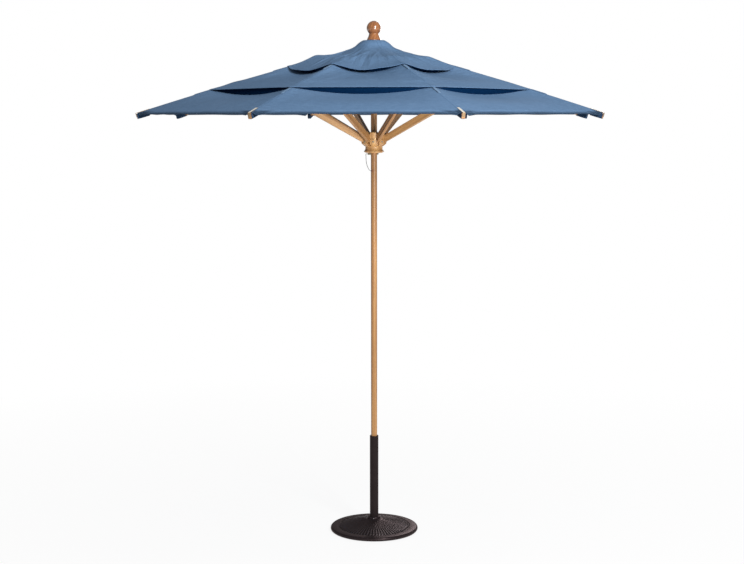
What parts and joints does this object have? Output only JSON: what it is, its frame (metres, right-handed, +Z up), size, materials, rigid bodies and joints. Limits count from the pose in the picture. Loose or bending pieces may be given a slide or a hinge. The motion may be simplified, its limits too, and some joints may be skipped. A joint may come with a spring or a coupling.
{
  "type": "patio umbrella with base",
  "caption": "Market umbrella with an octagonal vented canopy, wooden ribs, pole and ball finial, a sliding runner with lock pin, and a fluted round base with a stem.",
  "frame": {"origin": "on the floor under the pole's axis", "axes": "+Z up along the pole; -Y faces the viewer, and the tether hangs on the -X side"},
  "size_m": [2.5452, 2.5452, 2.9983],
  "materials": {
    "teak": "satin",
    "finial_teak": "gloss",
    "runner_wood": "satin",
    "brass": "satin",
    "canopy_cloth": "matt",
    "tether_cord": "matt",
    "bronze_iron": "satin",
    "bronze_tube": "satin",
    "steel": "brushed",
    "black_plastic": "matt",
    "black_rubber": "matt"
  },
  "bodies": {
    "base": {"base_dish": "bronze_iron", "stem_tube": "bronze_tube", "foot_collar": "bronze_iron", "foot_bolt": "steel", "set_screws": "steel", "rubber_feet": "black_rubber"},
    "bushing": {"reducer_bushing": "black_plastic"},
    "clamp": {"clamp_knob": "black_plastic"},
    "mast": {"pole": "teak", "pole_plug": "teak", "tether_anchor": "finial_teak", "tether": "tether_cord", "crown": "runner_wood", "crown_ring": "brass", "finial": "finial_teak", "finial_stud": "brass", "canopy_top": "canopy_cloth"},
    "runner": {"runner": "runner_wood", "runner_ring": "brass"},
    "lock_pin": {"lock_pin": "brass"},
    "rib_1": {"rib_1": "teak", "rib_bracket_1": "brass", "rib_strap_1": "brass", "canopy_sector_1": "canopy_cloth"},
    "strut_1": {"strut_1": "teak"},
    "rib_2": {"rib_2": "teak", "rib_bracket_2": "brass", "rib_strap_2": "brass", "canopy_sector_2": "canopy_cloth"},
    "strut_2": {"strut_2": "teak"},
    "rib_3": {"rib_3": "teak", "rib_bracket_3": "brass", "rib_strap_3": "brass", "canopy_sector_3": "canopy_cloth"},
    "strut_3": {"strut_3": "teak"},
    "rib_4": {"rib_4": "teak", "rib_bracket_4": "brass", "rib_strap_4": "brass", "canopy_sector_4": "canopy_cloth"},
    "strut_4": {"strut_4": "teak"},
    "rib_5": {"rib_5": "teak", "rib_bracket_5": "brass", "rib_strap_5": "brass", "canopy_sector_5": "canopy_cloth"},
    "strut_5": {"strut_5": "teak"},
    "rib_6": {"rib_6": "teak", "rib_bracket_6": "brass", "rib_strap_6": "brass", "canopy_sector_6": "canopy_cloth"},
    "strut_6": {"strut_6": "teak"},
    "rib_7": {"rib_7": "teak", "rib_bracket_7": "brass", "rib_strap_7": "brass", "canopy_sector_7": "canopy_cloth"},
    "strut_7": {"strut_7": "teak"},
    "rib_8": {"rib_8": "teak", "rib_bracket_8": "brass", "rib_strap_8": "brass", "canopy_sector_8": "canopy_cloth"},
    "strut_8": {"strut_8": "teak"}
  },
  "joints": [
    {"name": "bushing_turn", "type": "hinge", "parent": "base", "child": "bushing", "pos_m": [0, 0, 0.537], "axis": [0, 0, 1], "continuous": true},
    {"name": "mast_lift", "type": "slide", "parent": "bushing", "child": "mast", "axis": [0, 0, 1], "range_m": [0, 0.46]},
    {"name": "clamp_turn", "type": "hinge", "parent": "base", "child": "clamp", "pos_m": [0, 0.06, 0.44], "axis": [0, 1, 0], "continuous": true},
    {"name": "runner_slide", "type": "slide", "parent": "mast", "child": "runner", "axis": [0, 0, 1], "range_m": [-0.78417, 0]},
    {"name": "pin_pull", "type": "slide", "parent": "mast", "child": "lock_pin", "axis": [-1, 0, 0], "range_m": [0, 0.046], "deforming": ["tether"]},
    {"name": "rib_fold_1", "type": "hinge", "parent": "mast", "child": "rib_1", "pos_m": [0.0388, 0.01607, 2.834], "axis": [-0.3827, 0.9239, 0], "range_deg": [0, 71], "deforming": ["canopy_sector_1"]},
    {"name": "strut_swing_1", "type": "hinge", "parent": "rib_1", "child": "strut_1", "pos_m": [0.59734, 0.24743, 2.63504], "axis": [-0.3827, 0.9239, 0], "range_deg": [-135.5, 0]},
    {"name": "rib_fold_2", "type": "hinge", "parent": "mast", "child": "rib_2", "pos_m": [0.01607, 0.0388, 2.834], "axis": [-0.9239, 0.3827, 0], "range_deg": [0, 71], "deforming": ["canopy_sector_2"]},
    {"name": "strut_swing_2", "type": "hinge", "parent": "rib_2", "child": "strut_2", "pos_m": [0.24743, 0.59734, 2.63504], "axis": [-0.9239, 0.3827, 0], "range_deg": [-135.5, 0]},
    {"name": "rib_fold_3", "type": "hinge", "parent": "mast", "child": "rib_3", "pos_m": [-0.01607, 0.0388, 2.834], "axis": [-0.9239, -0.3827, 0], "range_deg": [0, 71], "deforming": ["canopy_sector_3"]},
    {"name": "strut_swing_3", "type": "hinge", "parent": "rib_3", "child": "strut_3", "pos_m": [-0.24743, 0.59734, 2.63504], "axis": [-0.9239, -0.3827, 0], "range_deg": [-135.5, 0]},
    {"name": "rib_fold_4", "type": "hinge", "parent": "mast", "child": "rib_4", "pos_m": [-0.0388, 0.01607, 2.834], "axis": [-0.3827, -0.9239, 0], "range_deg": [0, 71], "deforming": ["canopy_sector_4"]},
    {"name": "strut_swing_4", "type": "hinge", "parent": "rib_4", "child": "strut_4", "pos_m": [-0.59734, 0.24743, 2.63504], "axis": [-0.3827, -0.9239, 0], "range_deg": [-135.5, 0]},
    {"name": "rib_fold_5", "type": "hinge", "parent": "mast", "child": "rib_5", "pos_m": [-0.0388, -0.01607, 2.834], "axis": [0.3827, -0.9239, 0], "range_deg": [0, 71], "deforming": ["canopy_sector_5"]},
    {"name": "strut_swing_5", "type": "hinge", "parent": "rib_5", "child": "strut_5", "pos_m": [-0.59734, -0.24743, 2.63504], "axis": [0.3827, -0.9239, 0], "range_deg": [-135.5, 0]},
    {"name": "rib_fold_6", "type": "hinge", "parent": "mast", "child": "rib_6", "pos_m": [-0.01607, -0.0388, 2.834], "axis": [0.9239, -0.3827, 0], "range_deg": [0, 71], "deforming": ["canopy_sector_6"]},
    {"name": "strut_swing_6", "type": "hinge", "parent": "rib_6", "child": "strut_6", "pos_m": [-0.24743, -0.59734, 2.63504], "axis": [0.9239, -0.3827, 0], "range_deg": [-135.5, 0]},
    {"name": "rib_fold_7", "type": "hinge", "parent": "mast", "child": "rib_7", "pos_m": [0.01607, -0.0388, 2.834], "axis": [0.9239, 0.3827, 0], "range_deg": [0, 71], "deforming": ["canopy_sector_7"]},
    {"name": "strut_swing_7", "type": "hinge", "parent": "rib_7", "child": "strut_7", "pos_m": [0.24743, -0.59734, 2.63504], "axis": [0.9239, 0.3827, 0], "range_deg": [-135.5, 0]},
    {"name": "rib_fold_8", "type": "hinge", "parent": "mast", "child": "rib_8", "pos_m": [0.0388, -0.01607, 2.834], "axis": [0.3827, 0.9239, 0], "range_deg": [0, 71], "deforming": ["canopy_sector_8"]},
    {"name": "strut_swing_8", "type": "hinge", "parent": "rib_8", "child": "strut_8", "pos_m": [0.59734, -0.24743, 2.63504], "axis": [0.3827, 0.9239, 0], "range_deg": [-135.5, 0]}
  ],
  "couplings": [
    {"joint": "rib_fold_1", "follows": "runner_slide", "rad_per_m": -1.568},
    {"joint": "strut_swing_1", "follows": "runner_slide", "rad_per_m": 3.0043},
    {"joint": "rib_fold_2", "follows": "runner_slide", "rad_per_m": -1.568},
    {"joint": "strut_swing_2", "follows": "runner_slide", "rad_per_m": 3.0043},
    {"joint": "rib_fold_3", "follows": "runner_slide", "rad_per_m": -1.568},
    {"joint": "strut_swing_3", "follows": "runner_slide", "rad_per_m": 3.0043},
    {"joint": "rib_fold_4", "follows": "runner_slide", "rad_per_m": -1.568},
    {"joint": "strut_swing_4", "follows": "runner_slide", "rad_per_m": 3.0043},
    {"joint": "rib_fold_5", "follows": "runner_slide", "rad_per_m": -1.568},
    {"joint": "strut_swing_5", "follows": "runner_slide", "rad_per_m": 3.0043},
    {"joint": "rib_fold_6", "follows": "runner_slide", "rad_per_m": -1.568},
    {"joint": "strut_swing_6", "follows": "runner_slide", "rad_per_m": 3.0043},
    {"joint": "rib_fold_7", "follows": "runner_slide", "rad_per_m": -1.568},
    {"joint": "strut_swing_7", "follows": "runner_slide", "rad_per_m": 3.0043},
    {"joint": "rib_fold_8", "follows": "runner_slide", "rad_per_m": -1.568},
    {"joint": "strut_swing_8", "follows": "runner_slide", "rad_per_m": 3.0043}
  ]
}
